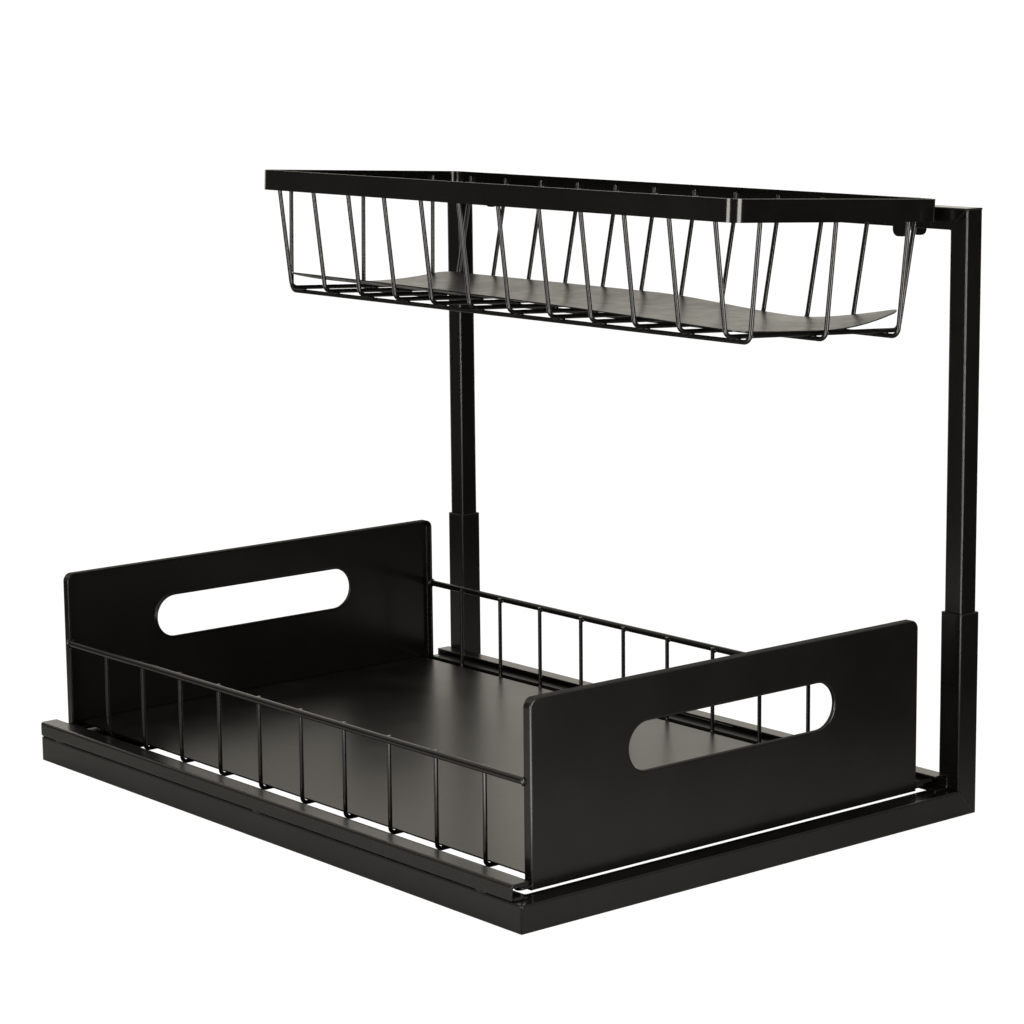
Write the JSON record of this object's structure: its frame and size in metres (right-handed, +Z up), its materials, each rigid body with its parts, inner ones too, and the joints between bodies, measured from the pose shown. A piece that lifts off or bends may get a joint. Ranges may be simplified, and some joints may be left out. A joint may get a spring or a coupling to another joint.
{
  "type": "two-tier under-sink organizer",
  "caption": "Free-standing black steel organizer: a wire drawer on ball slides that pulls out of one end of a tube base, and a wire basket hung on a plug-in post frame.",
  "frame": {"origin": "on the floor, in the middle of the base's footprint", "axes": "+X along the drawer's travel, towards the end it pulls out of; +Y towards the long side that carries the posts; +Z up"},
  "size_m": [0.42, 0.3075, 0.3244],
  "materials": {
    "frame_coat": "satin black powder coat on steel tube",
    "rail_coat": "satin black powder coat on roll-formed steel",
    "plate_coat": "satin black powder coat on pressed sheet steel",
    "wire_coat": "satin black powder coat on steel wire",
    "rim_coat": "satin black powder coat on flat steel band",
    "floor_coat": "semi-gloss black coat on sheet steel",
    "liner_plastic": "smooth black plastic sheet",
    "slide_steel": "black coated flat steel",
    "zinc": "bright zinc plate",
    "ball_steel": "polished bearing steel",
    "bumper_rubber": "moulded black rubber",
    "plug_plastic": "moulded black plastic"
  },
  "bodies": {
    "base": {"base_side_tube": "frame_coat", "base_front_tube": "frame_coat", "base_back_tube": "frame_coat", "front_sleeve": "frame_coat", "back_sleeve": "frame_coat", "post_stops": "plug_plastic", "open_side_rail": "rail_coat", "post_side_rail": "rail_coat", "slide_bumpers": "bumper_rubber"},
    "ball_cages": {"open_side_ball_cage": "zinc", "post_side_ball_cage": "zinc", "bearing_balls": "ball_steel"},
    "drawer": {"drawer_front_plate": "plate_coat", "drawer_back_plate": "plate_coat", "drawer_open_side_rail": "wire_coat", "drawer_post_side_rail": "wire_coat", "drawer_floor": "floor_coat", "open_side_runner": "slide_steel", "post_side_runner": "slide_steel", "runner_screws": "zinc", "drawer_wire_01": "wire_coat", "drawer_wire_02": "wire_coat", "drawer_wire_03": "wire_coat", "drawer_wire_04": "wire_coat", "drawer_wire_05": "wire_coat", "drawer_wire_06": "wire_coat", "drawer_wire_07": "wire_coat", "drawer_wire_08": "wire_coat", "drawer_wire_09": "wire_coat", "drawer_wire_10": "wire_coat"},
    "upper_frame": {"front_post": "frame_coat", "back_post": "frame_coat", "crossbar": "frame_coat"},
    "basket": {"basket_rim": "rim_coat", "basket_liner": "liner_plastic", "front_saddle": "rim_coat", "back_saddle": "rim_coat", "basket_cross_wire_01": "wire_coat", "basket_cross_wire_02": "wire_coat", "basket_cross_wire_03": "wire_coat", "basket_cross_wire_04": "wire_coat", "basket_cross_wire_05": "wire_coat", "basket_cross_wire_06": "wire_coat", "basket_cross_wire_07": "wire_coat", "basket_cross_wire_08": "wire_coat", "basket_cross_wire_09": "wire_coat", "basket_cross_wire_10": "wire_coat", "basket_cross_wire_11": "wire_coat", "basket_cross_wire_12": "wire_coat", "basket_long_wire_01": "wire_coat", "basket_long_wire_02": "wire_coat", "basket_long_wire_03": "wire_coat"}
  },
  "joints": [
    {"name": "drawer_slide", "type": "slide", "parent": "base", "child": "drawer", "axis": [1, 0, 0], "range_m": [0, 0.3]},
    {"name": "ball_cage_slide", "type": "slide", "parent": "base", "child": "ball_cages", "axis": [1, 0, 0], "range_m": [0, 0.15]},
    {"name": "upper_frame_lift", "type": "slide", "parent": "base", "child": "upper_frame", "axis": [0, 0, 1], "range_m": [0, 0.045]},
    {"name": "basket_lift", "type": "slide", "parent": "upper_frame", "child": "basket", "axis": [0, 0, 1], "range_m": [0, 0.025]}
  ],
  "couplings": [
    {"joint": "ball_cage_slide", "follows": "drawer_slide", "ratio": 0.5}
  ]
}
